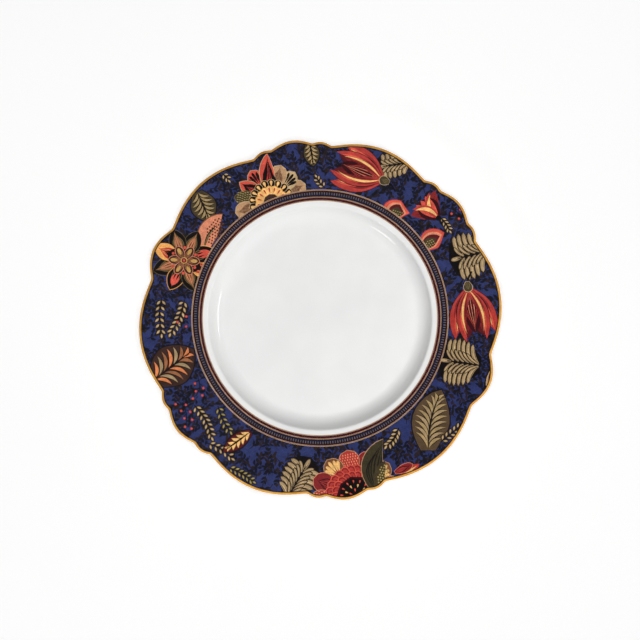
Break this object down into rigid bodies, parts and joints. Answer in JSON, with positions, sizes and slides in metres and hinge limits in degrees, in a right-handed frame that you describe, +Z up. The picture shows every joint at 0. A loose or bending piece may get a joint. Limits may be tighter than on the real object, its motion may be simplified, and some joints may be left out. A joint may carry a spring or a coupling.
{
  "type": "dinner plate",
  "caption": "Round china dinner plate with a scalloped gilt edge, a printed rim, a white glazed well and a foot ring.",
  "frame": {"origin": "middle of the plate's outline, at the level of the foot ring's sole", "axes": "+Z up along the plate's axis, +X and +Y across it; the single scallops lie at about 158 and 340 degrees from +X"},
  "size_m": [0.269, 0.266, 0.0223],
  "materials": {
    "fired_clay": "unglazed, fine matt",
    "white_glaze": "glossy white glaze",
    "blue_print": "glossy cobalt blue enamel print with coral, maroon, olive and cream flowers",
    "maroon_print": "glossy maroon enamel",
    "navy_print": "glossy navy enamel with a row of small pale strokes",
    "gold": "burnished fired gold"
  },
  "bodies": {
    "root": {"porcelain_body": "fired_clay", "glaze_coat": "white_glaze", "base_glaze": "white_glaze", "inner_gold_line": "gold", "maroon_band": "maroon_print", "middle_gold_line": "gold", "navy_band": "navy_print", "outer_gold_line": "gold", "rim_print": "blue_print", "gilt_edge": "gold", "backstamp_ring": "gold"}
  },
  "joints": []
}
